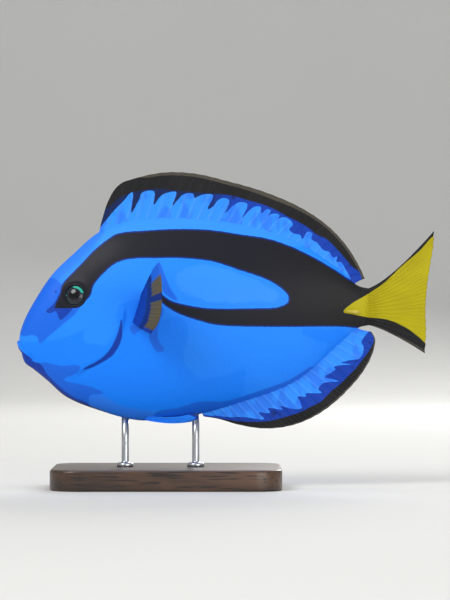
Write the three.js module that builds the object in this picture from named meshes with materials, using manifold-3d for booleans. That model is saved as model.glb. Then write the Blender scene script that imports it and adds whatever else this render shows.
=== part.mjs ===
// A regal blue tang (Paracanthurus hepatus) at life size, as a still museum model on a flat base with two rods.
// Sizes are millimetres. The fish is first laid out in its own side view: x runs from the snout at 0 to the tail
// tips at 240, z is 0 at the middle of the tail stalk, and the fish's left side faces -y. The last section lifts
// it onto its stand and sets the origin at the middle of the stand's underside.
import * as THREE from "three";
import { mergeVertices } from "three/addons/utils/BufferGeometryUtils.js";
import Module from "manifold-3d";

const wasm = await Module();
wasm.setup();

const gap = 0.3; // clear space between touching pieces
const sink = 2.2; // how deep a fin's root starts inside the body before it is cut to the body's surface
const saddle = 0.4; // how far the body is grown to cut those roots
const across = 80; // half length of a cutting prism, across the fish

// The body's outline. Each station joins a point of the back to a point of the belly, [x, z], with half the
// body's width there and how sharply the section closes at the back and at the belly: 0.5 is an ellipse, 0.8 a keel.
const stations = [
  { back: [0.8, -17.4], belly: [2.4, -21.6], halfWidth: 2.2, backEdge: 0.5, bellyEdge: 0.5 },
  { back: [1.6, -12.5], belly: [2.6, -26.2], halfWidth: 4.6, backEdge: 0.5, bellyEdge: 0.5 },
  { back: [4.5, -4.5], belly: [4.4, -30.6], halfWidth: 6.4, backEdge: 0.5, bellyEdge: 0.5 },
  { back: [10.5, 6.5], belly: [9.0, -34.0], halfWidth: 8.6, backEdge: 0.52, bellyEdge: 0.5 },
  { back: [20.0, 20.5], belly: [17.0, -40.5], halfWidth: 10.9, backEdge: 0.56, bellyEdge: 0.52 },
  { back: [31.5, 31.8], belly: [28.0, -50.0], halfWidth: 12.8, backEdge: 0.6, bellyEdge: 0.54 },
  { back: [47.0, 45.0], belly: [47.0, -57.8], halfWidth: 15.2, backEdge: 0.68, bellyEdge: 0.56 },
  { back: [64.5, 52.0], belly: [70.5, -63.6], halfWidth: 17.0, backEdge: 0.74, bellyEdge: 0.58 },
  { back: [93.5, 53.6], belly: [99.5, -61.0], halfWidth: 16.8, backEdge: 0.76, bellyEdge: 0.62 },
  { back: [128.0, 50.0], belly: [128.0, -53.6], halfWidth: 14.4, backEdge: 0.76, bellyEdge: 0.64 },
  { back: [160.0, 40.2], belly: [160.0, -41.4], halfWidth: 10.2, backEdge: 0.7, bellyEdge: 0.62 },
  { back: [185.5, 23.4], belly: [185.5, -19.6], halfWidth: 5.6, backEdge: 0.58, bellyEdge: 0.56 },
  { back: [196.0, 14.2], belly: [196.0, -10.4], halfWidth: 4.0, backEdge: 0.5, bellyEdge: 0.5 },
  { back: [203.0, 12.4], belly: [203.0, -8.6], halfWidth: 3.3, backEdge: 0.5, bellyEdge: 0.5 },
];
const widest = 0.06; // the section is widest this share of its half height above its middle
const bodyRings = 40;
const bodySides = 40;

// The edge of the gill cover, [x, z] from above the nape to below the throat. It parts the head from the torso.
const gillEdge = [
  [44, 62], [48.5, 43], [56, 28], [61.5, 12], [61.8, 0], [59.8, -12],
  [55.5, -21.5], [48, -28], [37.5, -34.5], [31, -43], [27, -53], [24, -66],
];
const gillCover = { swell: 1.1, reach: 7, top: 16, bottom: -40, fade: 9 };
const stalkCut = 181; // x where the tail stalk parts from the torso

// The mouth: the gape runs back and down from the lips to the corner, and the jaw hangs from there.
const mouth = {
  lips: [0.4, -19.2],
  corner: [7.4, -26.2],
  jawFoot: [10.4, -38],
  cornerHalfWidth: 5.6,
  gape: 0.7,
  lipRadius: 1.25,
  lipEndRadius: 0.5,
};
const nostrils = [
  { at: [25.2, 12.6], radius: 0.8 },
  { at: [22.4, 10.6], radius: 0.6 },
];
const eye = { at: [33.4, 8.4], radius: 6.3, depth: 3.7, inset: 1.9, rim: 0.95 };

// Median fins. Each pair is the x of a ray's root on the body's outline and the [x, z] of its tip.
const dorsalFin = {
  rays: 28,
  rows: 4,
  side: "back",
  pairs: [
    [46.6, [48.4, 51.4]], [50, [52.2, 63]], [55, [58.4, 72.2]], [63, [69, 76.3]], [76, [84.5, 79.3]],
    [92, [102, 78.7]], [110, [122, 74]], [128, [142, 68.2]], [146, [162, 59.6]], [162, [177.5, 49.5]],
    [176, [189.2, 37.4]], [187, [197.4, 24]], [193, [200, 18]],
  ],
  wave: { size: 1.3, count: 4.1 },
};
const analFin = {
  rays: 21,
  rows: 4,
  side: "belly",
  pairs: [
    [105.5, [107.5, -61.4]], [109.5, [116, -62.8]], [116, [127, -66]], [126, [141, -68.2]],
    [138, [156, -67]], [150, [169, -62.3]], [161, [181, -54.6]], [171, [191.5, -44.7]],
    [179.5, [199.5, -34.8]], [186, [204.6, -24.8]], [190.5, [206, -16.8]], [194, [203.8, -12.4]],
  ],
  wave: { size: 1.1, count: 3.5 },
};
// Fin thicknesses: the membrane at its margin, the rays over it at the root and margin, and the fleshy sheath.
const finSkin = { membrane: 0.55, rayRoot: 0.75, rayTip: 0.2, sheath: 1.9, sheathFade: 5 };
const rayWidth = 0.17; // half a ray's width, as a share of the space between two rays
const scallop = 0.02; // how far the margin draws in between two rays, as a share of the ray

const tailFin = {
  rays: 16,
  rows: 6,
  root: { x: 203, top: 11.8, bottom: -8.0, halfWidth: 3.0, fade: 6 },
  tips: [[239.9, 45.5], [239.6, 37], [237.8, 26], [236.2, 15.5], [235.2, 4], [235.1, -3], [235.4, -12], [234.6, -25]],
  leadX: 0.3,
  leadZ: 0.06,
  wave: { size: 0.8, count: 1.8 },
};

// Paired fins are given for the left side; y is the distance out from the middle plane.
const pectoralFin = {
  rays: 16,
  rows: 4,
  roots: [[74, 8.4], [71.4, 0.8], [68.6, -7]],
  tips: [[82.5, 53, 27], [84, 57.5, 15], [84, 55, 3.5], [82.2, 47, -6.5], [77.6, 35, -13.4]],
  bow: [-1.6, 2.6, 0],
  root: 3.2,
  rootFade: 5,
};
const pelvicFin = {
  rays: 4,
  rows: 5,
  roots: [[75, 2.9, -64.6], [76.4, 3.9, -62.4]],
  tips: [[100, 3.3, -64], [104.2, 4.3, -61.8], [100.5, 5.2, -59.6]],
  bow: [0, 0.5, -1.1],
  root: 1.7,
  rootFade: 4,
};
const tailSpine = { tip: [188.2, -0.6], root: [197.6, -1.4], radius: 1.25, tipRadius: 0.3, stand: 0.9, flat: 0.62 };

const stand = {
  base: { length: 132, width: 92, height: 12, corner: 16, bevel: 1.5, middle: 86 },
  rods: { stand_rod_front: 62, stand_rod_rear: 102.6 },
  rodRadius: 2.1,
  foot: { radius: 5, height: 2.4 },
  clearance: 22,
  sides: 14,
};

const colours = {
  blue: { color: 0x1480fb, roughness: 0.42, metalness: 0 },
  band: { color: 0x1b1c2a, roughness: 0.42, metalness: 0 },
  yellow: { color: 0xb3a704, roughness: 0.45, metalness: 0 },
  olive: { color: 0x7c6c22, roughness: 0.45, metalness: 0 },
  eye: { color: 0x14131a, roughness: 0.12, metalness: 0 },
  spine: { color: 0xd9cf8a, roughness: 0.35, metalness: 0 },
  wood: { color: 0x2b211b, roughness: 0.4, metalness: 0 },
  steel: { color: 0xb9bcc0, roughness: 0.28, metalness: 1 },
};

const point = (x, y, z) => new THREE.Vector3(x, y, z);
const mix = THREE.MathUtils.lerp;
const ease = THREE.MathUtils.smoothstep;

// Solids

function toSolid(geometry) {
  const bare = geometry.index ? geometry.clone() : mergeVertices(geometry.clone());
  bare.deleteAttribute("normal");
  bare.deleteAttribute("uv");
  const merged = mergeVertices(bare, 1e-4);
  const corners = merged.index.array;
  const triVerts = new Uint32Array(corners.length);
  let kept = 0;
  for (let i = 0; i < corners.length; i += 3) {
    const [a, b, c] = corners.slice(i, i + 3);
    if (a === b || b === c || c === a) continue;
    triVerts.set([a, b, c], kept);
    kept += 3;
  }
  const build = (tris) =>
    new wasm.Manifold(
      new wasm.Mesh({
        numProp: 3,
        vertProperties: new Float32Array(merged.attributes.position.array),
        triVerts: tris,
      }),
    );
  const solid = build(triVerts.slice(0, kept));
  if (solid.volume() > 0) return solid;
  const turned = triVerts.slice(0, kept);
  for (let i = 0; i < kept; i += 3) [turned[i + 1], turned[i + 2]] = [turned[i + 2], turned[i + 1]];
  return build(turned);
}

function largest(solid) {
  return solid.decompose().reduce((best, piece) => (piece.volume() > best.volume() ? piece : best));
}

// The solid's largest body as a geometry, its largest triangles first.
function toGeometry(solid) {
  const { numProp, vertProperties, triVerts } = largest(solid).getMesh();
  const places = new Float32Array((vertProperties.length / numProp) * 3);
  for (let i = 0; i < places.length / 3; i++) {
    places.set(vertProperties.subarray(i * numProp, i * numProp + 3), i * 3);
  }
  const corner = (i) => point(...places.subarray(i * 3, i * 3 + 3));
  const triangles = [];
  for (let i = 0; i < triVerts.length; i += 3) {
    const [a, b, c] = triVerts.subarray(i, i + 3);
    triangles.push({ corners: [a, b, c], area: new THREE.Triangle(corner(a), corner(b), corner(c)).getArea() });
  }
  triangles.sort((one, other) => other.area - one.area);
  return new THREE.BufferGeometry()
    .setAttribute("position", new THREE.BufferAttribute(places, 3))
    .setIndex(triangles.flatMap(({ corners }) => corners));
}

// Moves every vertex of a geometry to where place(vertex) says.
function reshape(geometry, place) {
  const position = geometry.getAttribute("position");
  const vertex = point(0, 0, 0);
  for (let i = 0; i < position.count; i++) {
    vertex.fromBufferAttribute(position, i);
    const { x, y, z } = place(vertex);
    position.setXYZ(i, x, y, z);
  }
  return geometry;
}

// A tapering round rod along a curve; radius is a function of the share of the way along.
function rope(curve, steps, sides, radius, flat = 1) {
  const tube = new THREE.CylinderGeometry(1, 1, 1, sides, steps);
  return reshape(tube, (v) => {
    const along = 0.5 - v.y;
    const middle = curve.getPoint(along);
    const ahead = curve.getTangent(along);
    const out = point(0, 1, 0).addScaledVector(ahead, -ahead.y);
    if (out.length() < 0.2) out.set(0, 0, 1).addScaledVector(ahead, -ahead.z);
    out.normalize();
    const up = ahead.clone().cross(out);
    const r = radius(along);
    return middle.addScaledVector(out, v.x * r * flat).addScaledVector(up, v.z * r);
  });
}

// A prism across the fish whose side view is the given outline.
function prism(outline) {
  const shape = new THREE.Shape(outline.map(([x, z]) => new THREE.Vector2(x, z)));
  const slab = new THREE.ExtrudeGeometry(shape, { depth: 2 * across, bevelEnabled: false });
  slab.translate(0, 0, -across);
  return toSolid(reshape(slab, (v) => point(v.x, -v.z, v.y)));
}

// A thin blade round a middle surface: both faces are split into triangles alike, and a rim closes them.
function blade(columns, rows, middle, thickness) {
  const grid = new THREE.PlaneGeometry(1, 1, columns.length - 1, rows);
  const spots = grid.getAttribute("position");
  const faces = [...grid.index.array];
  const places = [];
  const nudge = 1e-3;
  for (const side of [0.5, -0.5]) {
    for (let i = 0; i < spots.count; i++) {
      const { u, ray } = columns[Math.round((spots.getX(i) + 0.5) * (columns.length - 1))];
      const v = 0.5 - spots.getY(i);
      const here = middle(u, v, ray);
      const alongU = middle(u + nudge, v, ray).sub(middle(u - nudge, v, ray));
      const alongV = middle(u, v + nudge, ray).sub(middle(u, v - nudge, ray));
      const normal = alongU.cross(alongV).normalize();
      places.push(...here.addScaledVector(normal, side * thickness(u, v, ray)).toArray());
    }
  }
  const count = spots.count;
  const wide = columns.length;
  const back = [];
  for (let i = 0; i < faces.length; i += 3) {
    back.push(faces[i] + count, faces[i + 2] + count, faces[i + 1] + count);
  }
  const rim = [];
  for (let c = 0; c < wide; c++) rim.push(c);
  for (let r = 1; r <= rows; r++) rim.push(r * wide + wide - 1);
  for (let c = wide - 2; c >= 0; c--) rim.push(rows * wide + c);
  for (let r = rows - 1; r > 0; r--) rim.push(r * wide);
  const edge = [];
  rim.forEach((a, i) => {
    const b = rim[(i + 1) % rim.length];
    edge.push(a, b, a + count, b, b + count, a + count);
  });
  const made = new THREE.BufferGeometry()
    .setAttribute("position", new THREE.Float32BufferAttribute(places, 3))
    .setIndex([...faces, ...back, ...edge]);
  return toSolid(made);
}

// The columns of a fin with this many rays: one on each ray's crest and one on each of its flanks.
function rayColumns(rays) {
  const columns = [];
  for (let i = 0; i < rays; i++) {
    if (i > 0) columns.push({ u: (i - rayWidth) / (rays - 1), ray: 0 });
    columns.push({ u: i / (rays - 1), ray: 1 });
    if (i < rays - 1) columns.push({ u: (i + rayWidth) / (rays - 1), ray: 0 });
  }
  return columns;
}

const rayThickness = (v, ray) => finSkin.membrane + ray * mix(finSkin.rayRoot, finSkin.rayTip, Math.max(0, v));

// The body's surface

const backCurve = new THREE.CatmullRomCurve3(stations.map(({ back }) => point(back[0], 0, back[1])));
const bellyCurve = new THREE.CatmullRomCurve3(stations.map(({ belly }) => point(belly[0], 0, belly[1])));
const girthCurve = new THREE.CatmullRomCurve3(
  stations.map((s) => point(s.halfWidth, s.backEdge, s.bellyEdge)),
  false,
  "catmullrom",
  0.5,
);

// The half width at a share `height` of the section's half height, from -1 at the belly to 1 at the back.
function halfWidthAt(t, height) {
  const { x: halfWidth, y: backEdge, z: bellyEdge } = girthCurve.getPoint(t);
  const above = height > widest;
  const off = above ? (height - widest) / (1 - widest) : (widest - height) / (1 + widest);
  return halfWidth * Math.pow(Math.max(0, 1 - off * off), above ? backEdge : bellyEdge);
}

// The curve's parameter where a falls to b: a and b are functions of it.
function solve(difference, low = 0, high = 1) {
  const rising = difference(high) > difference(low);
  for (let i = 0; i < 40; i++) {
    const middle = (low + high) / 2;
    if (difference(middle) > 0 === rising) high = middle;
    else low = middle;
  }
  return (low + high) / 2;
}

// The half width of the body where the side view shows [x, z].
function flank(x, z) {
  const t = solve((s) => {
    const back = backCurve.getPoint(s);
    const belly = bellyCurve.getPoint(s);
    const share = (z - belly.z) / (back.z - belly.z);
    return mix(belly.x, back.x, share) - x;
  });
  const back = backCurve.getPoint(t);
  const belly = bellyCurve.getPoint(t);
  return halfWidthAt(t, (2 * (z - belly.z)) / (back.z - belly.z) - 1);
}

// The outward direction of the left flank at [x, z].
function flankNormal(x, z) {
  const step = 0.5;
  const slopeX = (flank(x + step, z) - flank(x - step, z)) / (2 * step);
  const slopeZ = (flank(x, z + step) - flank(x, z - step)) / (2 * step);
  return point(-slopeX, -1, -slopeZ).normalize();
}

const outlines = { back: backCurve, belly: bellyCurve };
function onOutline(side, x) {
  const curve = outlines[side];
  return curve.getPoint(solve((s) => curve.getPoint(s).x - x));
}

const gillCurve = new THREE.CatmullRomCurve3(gillEdge.map(([x, z]) => point(x, 0, z)));
const gillX = (z) => gillCurve.getPoint(solve((s) => z - gillCurve.getPoint(s).z)).x;

// How far the gill cover stands out of the cheek.
function gillSwell(x, z) {
  const { swell, reach, top, bottom, fade } = gillCover;
  const tall = ease(z, bottom - fade, bottom) * (1 - ease(z, top, top + fade));
  const ahead = Math.max(0, gillX(z) - x);
  return swell * tall * Math.exp(-ahead / reach);
}

// The whole body as one closed skin. grow moves the skin out, swollen adds the gill cover.
function body(grow = 0, swollen = false) {
  const tube = new THREE.CylinderGeometry(1, 1, 1, bodySides, bodyRings);
  return toSolid(
    reshape(tube, (v) => {
      const t = 0.5 - v.y;
      const back = backCurve.getPoint(t);
      const belly = bellyCurve.getPoint(t);
      const middle = back.clone().add(belly).multiplyScalar(0.5);
      if (Math.hypot(v.x, v.z) < 0.5) return middle;
      const half = back.clone().sub(middle);
      const rise = v.x;
      const height = rise > 0 ? widest + (1 - widest) * rise : widest + (1 + widest) * rise;
      const place = middle.clone().addScaledVector(half, height * (1 + grow / half.length()));
      const out = halfWidthAt(t, height);
      const ends = (t === 1 ? grow : 0) - (t === 0 ? grow : 0);
      const cover = swollen ? gillSwell(place.x, place.z) * Math.min(1, out / 6) : 0;
      place.y = Math.sign(v.z) * (out + grow * Math.abs(v.z) + cover);
      place.x += ends;
      return place;
    }),
  );
}

const plainBody = body();
const grownBody = body(saddle);

// Head, jaw, torso and tail stalk

const far = 400;
const gillLine = gillCurve.getPoints(20).map(({ x, z }) => [x, z]);
const behindGill = gillLine.map(([x, z]) => [x + 0.34, z - 0.22]);
const headRegion = prism([[-far, 62], ...gillLine, [-far, -66]]);
const torsoRegion = prism([...behindGill, [24.34, -far], [stalkCut, -far], [stalkCut, far], [44.34, far]]);
const stalkRegion = prism([[stalkCut + gap, -far], [far, -far], [far, far], [stalkCut + gap, far]]);

// Where the gape's line is moved along its own normal.
function mouthRegion(shift) {
  const [lipX, lipZ] = mouth.lips;
  const [cornerX, cornerZ] = mouth.corner;
  const run = new THREE.Vector2(cornerX - lipX, cornerZ - lipZ).normalize();
  const up = [-run.y * shift, run.x * shift];
  const reach = 8;
  return [
    [lipX - run.x * reach + up[0], lipZ - run.y * reach + up[1]],
    [cornerX + up[0] + Math.max(0, shift), cornerZ + up[1]],
    [mouth.jawFoot[0] + Math.max(0, shift), mouth.jawFoot[1]],
    [-reach, mouth.jawFoot[1]],
  ];
}

// A lip: a roll from one corner of the mouth round the front to the other, on one side of the gape.
function lip(shift) {
  const [lipX, lipZ] = mouth.lips;
  const [cornerX, cornerZ] = mouth.corner;
  const side = mouth.cornerHalfWidth;
  const path = new THREE.QuadraticBezierCurve3(
    point(cornerX, -side, cornerZ + 0.3 * shift),
    point(2 * lipX - cornerX, 0, 2 * lipZ - cornerZ + 1.9 * shift),
    point(cornerX, side, cornerZ + 0.3 * shift),
  );
  const radius = (u) => mix(mouth.lipEndRadius, mouth.lipRadius, Math.sqrt(Math.sin(Math.PI * u)));
  return toSolid(rope(path, 12, 8, radius));
}

// The eyeball, a flattened ball set square to the cheek; grow enlarges it for the socket.
function eyeball(side, grow = 0) {
  const [x, z] = eye.at;
  const normal = flankNormal(x, z);
  const middle = point(x, -flank(x, z), z).addScaledVector(normal, -eye.inset);
  const turn = new THREE.Quaternion().setFromUnitVectors(point(0, 1, 0), normal);
  const ball = new THREE.SphereGeometry(1, 18, 10);
  return toSolid(
    reshape(ball, (v) => {
      const local = point(v.x * (eye.radius + grow), v.y * (eye.depth + grow), v.z * (eye.radius + grow));
      const placed = local.applyQuaternion(turn).add(middle);
      return point(placed.x, placed.y * -side, placed.z);
    }),
  );
}

// The ring of skin round the eye.
function eyeRim(side) {
  const [x, z] = eye.at;
  const normal = flankNormal(x, z);
  const middle = point(x, -flank(x, z), z).addScaledVector(normal, -0.25);
  const turn = new THREE.Quaternion().setFromUnitVectors(point(0, 0, 1), normal);
  const ring = new THREE.TorusGeometry(eye.radius + 0.1, eye.rim, 6, 20);
  return toSolid(
    reshape(ring, (v) => {
      const placed = v.clone().applyQuaternion(turn).add(middle);
      return point(placed.x, placed.y * -side, placed.z);
    }),
  );
}

function nostril(side, { at, radius }) {
  const pit = new THREE.SphereGeometry(radius, 8, 6);
  pit.translate(at[0], side * flank(...at), at[1]);
  return toSolid(pit);
}

const leftSide = -1;
const rightSide = 1;
const sides = { left: leftSide, right: rightSide };
const eyes = { left: eyeball(leftSide), right: eyeball(rightSide) };
let skull = body(0, true).intersect(headRegion);
for (const side of [leftSide, rightSide]) {
  skull = skull.add(eyeRim(side)).subtract(eyeball(side, gap));
  for (const pit of nostrils) skull = skull.subtract(nostril(side, pit));
}
const head = skull.subtract(prism(mouthRegion(mouth.gape))).add(
  lip(1).subtract(prism(mouthRegion(mouth.gape / 2 + 0.1))),
);
const jaw = skull
  .intersect(prism(mouthRegion(0)))
  .add(lip(-1).intersect(prism(mouthRegion(0))));

// Median fins

function medianFin({ rays, rows, side, pairs, wave }) {
  const roots = new THREE.CatmullRomCurve3(pairs.map(([x]) => onOutline(side, x)));
  const tips = new THREE.CatmullRomCurve3(pairs.map(([, tip]) => point(tip[0], 0, tip[1])));
  const inward = side === "back" ? -sink : sink;
  const middle = (u, v, ray) => {
    const share = THREE.MathUtils.clamp(u, 0, 1);
    const t = roots.getUtoTmapping(share, 0);
    const root = roots.getPoint(t);
    const tip = tips.getPoint(t);
    root.z += inward * (1 - v);
    const out = v * (ray || v < 1 ? 1 : 1 - scallop);
    const place = root.lerp(tip, out);
    place.x += u - share;
    place.y = wave.size * v * v * Math.sin(2 * Math.PI * wave.count * share) * Math.sin(Math.PI * share);
    return place;
  };
  const thickness = (u, v, ray) =>
    rayThickness(v, ray) + finSkin.sheath * Math.pow(1 - Math.max(0, v), finSkin.sheathFade);
  return blade(rayColumns(rays), rows, middle, thickness).subtract(grownBody);
}

// Tail fin

function caudalFin() {
  const { rays, rows, root, tips, leadX, leadZ, wave } = tailFin;
  const margin = new THREE.CatmullRomCurve3(tips.map(([x, z]) => point(x, 0, z)));
  const middle = (u, v, ray) => {
    const share = THREE.MathUtils.clamp(u, 0, 1);
    const tip = margin.getPoint(margin.getUtoTmapping(share, 0));
    const start = point(root.x + gap, 0, mix(root.top, root.bottom, share));
    const lead = start.clone();
    lead.x += leadX * (tip.x - start.x);
    lead.z += leadZ * (tip.z - start.z);
    const out = v * (ray || v < 1 ? 1 : 1 - scallop);
    const place = new THREE.QuadraticBezierCurve3(start, lead, tip).getPoint(THREE.MathUtils.clamp(out, 0, 1));
    place.x += v - THREE.MathUtils.clamp(v, 0, 1);
    place.y = wave.size * out * out * Math.sin(2 * Math.PI * wave.count * u);
    place.z -= u - share;
    return place;
  };
  const thickness = (u, v, ray) => {
    const round = Math.sqrt(Math.max(0, 1 - (2 * u - 1) ** 2));
    return rayThickness(v, ray) + 2 * root.halfWidth * round * Math.pow(1 - Math.max(0, v), root.fade) * 0.8;
  };
  return blade(rayColumns(rays), rows, middle, thickness);
}

// Paired fins

function pairedFin(side, { rays, rows, tips, bow, root, rootFade }, rootCurve, inward) {
  const margin = new THREE.CatmullRomCurve3(tips.map(([x, y, z]) => point(x, side * y, z)));
  const middle = (u, v, ray) => {
    const share = THREE.MathUtils.clamp(u, 0, 1);
    const start = rootCurve.getPoint(share).addScaledVector(inward, 1 - v);
    const tip = margin.getPoint(share);
    const out = v * (ray || v < 1 ? 1 : 1 - scallop);
    const place = start.lerp(tip, out);
    const arch = 4 * out * (1 - out);
    place.add(point(bow[0] * arch, side * bow[1] * arch, bow[2] * arch));
    place.z -= u - share;
    return place;
  };
  const thickness = (u, v, ray) => rayThickness(v, ray) + root * Math.pow(1 - Math.max(0, v), rootFade);
  return blade(rayColumns(rays), rows, middle, thickness).subtract(grownBody);
}

function pectoral(side) {
  const roots = pectoralFin.roots.map(([x, z]) => point(x, side * flank(x, z), z));
  return pairedFin(side, pectoralFin, new THREE.CatmullRomCurve3(roots), point(-0.8, -side * sink, 0));
}

function pelvic(side) {
  const roots = pelvicFin.roots.map(([x, y, z]) => point(x, side * y, z));
  return pairedFin(side, pelvicFin, new THREE.LineCurve3(...roots), point(-1.2, -side * 1.2, 1.6));
}

// The folded blade on each side of the tail stalk, its point forward.
function scalpel(side, grow = 0) {
  const { tip, root, radius, tipRadius, stand: lift, flat } = tailSpine;
  const path = new THREE.LineCurve3(
    point(tip[0], side * (flank(...tip) + lift), tip[1]),
    point(root[0] + grow, side * (flank(...root) - 0.2), root[1]),
  );
  const width = (u) => mix(tipRadius, radius, Math.pow(u, 0.7)) + grow;
  return toSolid(rope(path, 4, 8, width, flat));
}

// Stand

const { base } = stand;
const lowest = Math.min(...analFin.pairs.map(([, tip]) => tip[1]));
const lift = base.height + stand.clearance - lowest;

function standBase() {
  const { length, width, corner, bevel } = base;
  const halfLength = length / 2 - bevel - corner;
  const halfWidth = width / 2 - bevel - corner;
  const plan = new THREE.Shape();
  plan.absarc(halfLength, halfWidth, corner, 0, Math.PI / 2);
  plan.absarc(-halfLength, halfWidth, corner, Math.PI / 2, Math.PI);
  plan.absarc(-halfLength, -halfWidth, corner, Math.PI, 1.5 * Math.PI);
  plan.absarc(halfLength, -halfWidth, corner, 1.5 * Math.PI, 2 * Math.PI);
  const plate = new THREE.ExtrudeGeometry(plan, {
    depth: base.height - 2 * bevel,
    bevelThickness: bevel,
    bevelSize: bevel,
    bevelSegments: 1,
    curveSegments: 4,
  });
  plate.translate(base.middle, 0, bevel - lift);
  return toSolid(plate);
}

function rod(x) {
  const foot = base.height + gap - lift;
  const { radius, height } = stand.foot;
  const r = stand.rodRadius;
  const top = onOutline("belly", x).z + sink;
  const profile = [[0, foot], [radius, foot], [radius, foot + height - 0.8], [radius - 0.8, foot + height]];
  profile.push([r + 0.6, foot + height], [r, foot + height + 0.8], [r, top], [0, top]);
  const turned = new THREE.LatheGeometry(profile.map(([d, z]) => new THREE.Vector2(d, z)), stand.sides);
  turned.rotateX(Math.PI / 2);
  turned.translate(x, 0, 0);
  return toSolid(turned).subtract(grownBody);
}

// Assembly

const model = new THREE.Group();

function add(name, solid, finish) {
  const mesh = new THREE.Mesh(toGeometry(solid), new THREE.MeshStandardMaterial(finish));
  mesh.name = name;
  model.add(mesh);
}

let tailStalk = plainBody.intersect(stalkRegion);
for (const side of [leftSide, rightSide]) tailStalk = tailStalk.subtract(scalpel(side, gap));

add("head", head, colours.blue);
add("jaw", jaw, colours.blue);
add("torso", plainBody.intersect(torsoRegion), colours.blue);
add("tail_stalk", tailStalk, colours.band);
add("dorsal_fin", medianFin(dorsalFin), colours.blue);
add("anal_fin", medianFin(analFin), colours.blue);
add("tail_fin", caudalFin(), colours.yellow);
for (const [name, side] of Object.entries(sides)) {
  add(`eye_${name}`, eyes[name], colours.eye);
  add(`pectoral_fin_${name}`, pectoral(side), colours.olive);
  add(`pelvic_fin_${name}`, pelvic(side), colours.blue);
  add(`tail_spine_${name}`, scalpel(side), colours.spine);
}
add("stand_base", standBase(), colours.wood);
for (const [name, x] of Object.entries(stand.rods)) add(name, rod(x), colours.steel);

const reach = new THREE.Box3().setFromObject(model);
model.position.set(-(reach.min.x + reach.max.x) / 2, 0, lift);

export default model;
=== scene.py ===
# A regal blue tang at life size, as a still museum model on a plain stand.
# The fish is laid out in millimetres: x back from the snout, z up from the middle of the tail stalk, and y
# across with the left side on -y. inRow() takes that into the frame, in metres.
import math

import bmesh
import bpy
import numpy as np
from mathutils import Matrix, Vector


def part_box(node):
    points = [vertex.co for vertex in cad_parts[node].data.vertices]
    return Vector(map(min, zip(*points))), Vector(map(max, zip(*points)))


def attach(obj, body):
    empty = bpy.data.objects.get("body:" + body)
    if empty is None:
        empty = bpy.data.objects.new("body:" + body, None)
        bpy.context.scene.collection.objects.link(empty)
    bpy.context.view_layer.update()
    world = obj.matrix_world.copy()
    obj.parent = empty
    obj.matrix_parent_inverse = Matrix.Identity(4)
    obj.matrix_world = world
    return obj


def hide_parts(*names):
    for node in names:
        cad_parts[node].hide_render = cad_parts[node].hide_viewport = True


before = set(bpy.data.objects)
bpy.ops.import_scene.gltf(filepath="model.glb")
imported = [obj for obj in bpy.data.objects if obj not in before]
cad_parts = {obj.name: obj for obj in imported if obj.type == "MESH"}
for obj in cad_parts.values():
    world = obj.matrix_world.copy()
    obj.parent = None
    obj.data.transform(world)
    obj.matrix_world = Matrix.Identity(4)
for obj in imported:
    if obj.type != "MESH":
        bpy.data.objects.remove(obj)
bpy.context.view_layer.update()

stand = {
    "baseMiddle": 86,       # x under the fish
    "baseHeight": 12,
    "clearance": 22,        # from the base's top to the lowest fin
    "lowestFin": -68.2,
}
baseLow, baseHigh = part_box("stand_base")
origin = np.array([
    (baseLow.x + baseHigh.x) * 500 - stand["baseMiddle"],
    0,
    stand["baseHeight"] + stand["clearance"] - stand["lowestFin"],
])


def inRow(spots):
    return (np.asarray(spots, float) + origin) / 1000


# Curves and small helpers

def ease(low, high, value):
    share = np.clip((value - low) / (high - low), 0, 1)
    return share * share * (3 - 2 * share)


def curveAt(points, t, even=False):    # a smooth curve through the points; even: the same stride between all
    p = np.asarray(points, float)
    last = len(p) - 1
    padded = np.vstack([2 * p[0] - p[1], p, 2 * p[-1] - p[-2]])
    s = np.clip(np.atleast_1d(t), 0, 1) * last
    i = np.minimum(s.astype(int), last - 1)
    w = (s - i)[:, None]
    p0, p1, p2, p3 = (padded[i + k] for k in range(4))
    if even:
        d0 = d1 = d2 = np.ones_like(w)
    else:
        spans = ((p0, p1), (p1, p2), (p2, p3))
        d0, d1, d2 = (np.sqrt(np.linalg.norm(b - a, axis=1))[:, None] for a, b in spans)
    m1 = ((p1 - p0) / d0 - (p2 - p0) / (d0 + d1) + (p2 - p1) / d1) * d1
    m2 = ((p2 - p1) / d1 - (p3 - p1) / (d1 + d2) + (p3 - p2) / d2) * d1
    return p1 + m1 * w + (3 * (p2 - p1) - 2 * m1 - m2) * w**2 + (2 * (p1 - p2) + m1 + m2) * w**3


def byLength(points, share):    # the curve's parameter at a share of its length
    t = np.linspace(0, 1, 201)
    steps = np.linalg.norm(np.diff(curveAt(points, t), axis=0), axis=1)
    run = np.concatenate([[0], np.cumsum(steps)])
    return np.interp(np.asarray(share) * run[-1], run, t)


def bisect(miss, count):    # where miss, which rises with t, is zero
    low = np.zeros(count)
    high = np.ones(count)
    for _ in range(40):
        t = (low + high) / 2
        past = miss(t) > 0
        high = np.where(past, t, high)
        low = np.where(past, low, t)
    return (low + high) / 2


def closedLoop(points, perSpan=6):    # a closed outline rounded through its points
    p = np.asarray(points, float)
    ring = np.vstack([p[-2:], p, p[:3]])
    t = (2 + np.arange(len(p) * perSpan) / perSpan) / (len(ring) - 1)
    return curveAt(ring, t)


def lineMiss(x, z, line):    # distance to an open line in the side view
    nearest = np.full(x.shape, 1e9)
    for (ax, az), (bx, bz) in zip(line[:-1], line[1:]):
        dx, dz = bx - ax, bz - az
        share = np.clip(((x - ax) * dx + (z - az) * dz) / max(dx * dx + dz * dz, 1e-9), 0, 1)
        nearest = np.minimum(nearest, (x - ax - share * dx) ** 2 + (z - az - share * dz) ** 2)
    return np.sqrt(nearest)


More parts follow.
